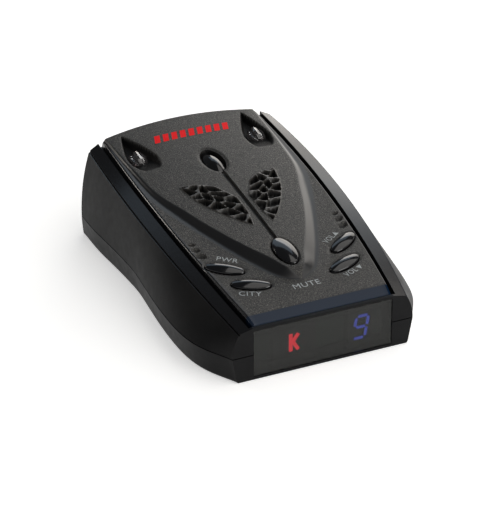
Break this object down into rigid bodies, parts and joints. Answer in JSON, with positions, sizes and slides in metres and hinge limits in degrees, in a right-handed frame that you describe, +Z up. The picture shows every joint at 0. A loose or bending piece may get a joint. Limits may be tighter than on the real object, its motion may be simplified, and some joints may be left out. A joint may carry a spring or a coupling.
{
  "type": "radar detector",
  "caption": "Palm-sized dashboard radar detector with a tapered two-shell housing, raised control panel, smoked display window, oval buttons and speaker vents.",
  "frame": {"origin": "middle of the footprint on the surface the detector stands on, half-way between the display face and the middle of the bowed rear face", "axes": "+X to the right as the driver faces the display, +Y from the display towards the road, +Z up"},
  "size_m": [0.0754, 0.11, 0.032],
  "materials": {
    "shell_black": "fine-textured moulded ABS, near black",
    "panel_charcoal": "fine-grained soft-touch charcoal with a slight sparkle",
    "button_gloss": "polished black plastic",
    "clear_lens": "clear polished acrylic",
    "smoked_window": "smoked polished acrylic",
    "dark_lens": "infrared-passing dark acrylic",
    "glow_blue": "lit blue segments",
    "glow_red": "lit red letter",
    "component_black": "black moulded component",
    "circuit_board": "green solder mask",
    "brass_spacer": "turned brass",
    "can_steel": "tinned steel sheet",
    "capacitor_sleeve": "sleeved aluminium can",
    "cast_horn": "die-cast, unpainted",
    "magnet_dark": "dark ferrite",
    "speaker_cone": "black film cone",
    "gasket_foam": "closed-cell foam",
    "lamp_red": "red lamp",
    "screw_steel": "black zinc",
    "label_silver": "blank foil label",
    "plunger_grey": "grey switch plunger"
  },
  "bodies": {
    "root": {"alert_lamps": "lamp_red", "band_letter": "glow_red", "band_module": "component_black", "board_header": "component_black", "board_screws": "screw_steel", "bottom_shell": "shell_black", "capacitors": "capacitor_sleeve", "case_screws": "screw_steel", "crystal": "can_steel", "digit_module": "component_black", "digit_segments": "glow_blue", "display_board": "circuit_board", "display_header": "component_black", "display_window": "smoked_window", "horn_antenna": "cast_horn", "keypad_board": "circuit_board", "keypad_spacers": "brass_spacer", "laser_sensor": "component_black", "left_jewel_lens": "clear_lens", "light_pipes": "clear_lens", "main_board": "circuit_board", "memory_chips": "component_black", "mixer_chip": "component_black", "power_jack": "component_black", "processor_chip": "component_black", "rating_label": "label_silver", "rear_lens": "dark_lens", "right_jewel_lens": "clear_lens", "shield_can": "can_steel", "speaker_cone": "speaker_cone", "speaker_frame": "can_steel", "speaker_gasket": "gasket_foam", "speaker_magnet": "magnet_dark", "spine_dome": "button_gloss", "tact_switches": "component_black", "top_panel": "panel_charcoal", "top_shell": "shell_black"},
    "power": {"power_button": "button_gloss", "power_plunger": "plunger_grey"},
    "city": {"city_button": "button_gloss", "city_plunger": "plunger_grey"},
    "volume_up": {"volume_up_button": "button_gloss", "volume_up_plunger": "plunger_grey"},
    "volume_down": {"volume_down_button": "button_gloss", "volume_down_plunger": "plunger_grey"},
    "mute": {"mute_button": "button_gloss", "mute_plunger": "plunger_grey"}
  },
  "joints": [
    {"name": "power_press", "type": "slide", "parent": "root", "child": "power", "axis": [0, 0, -1], "range_m": [0, 0.0005], "stiffness_N_per_m": 600},
    {"name": "city_press", "type": "slide", "parent": "root", "child": "city", "axis": [0, 0, -1], "range_m": [0, 0.0005], "stiffness_N_per_m": 600},
    {"name": "volume_up_press", "type": "slide", "parent": "root", "child": "volume_up", "axis": [0, 0, -1], "range_m": [0, 0.0005], "stiffness_N_per_m": 600},
    {"name": "volume_down_press", "type": "slide", "parent": "root", "child": "volume_down", "axis": [0, 0, -1], "range_m": [0, 0.0005], "stiffness_N_per_m": 600},
    {"name": "mute_press", "type": "slide", "parent": "root", "child": "mute", "axis": [0, 0, -1], "range_m": [0, 0.0005], "stiffness_N_per_m": 600}
  ]
}
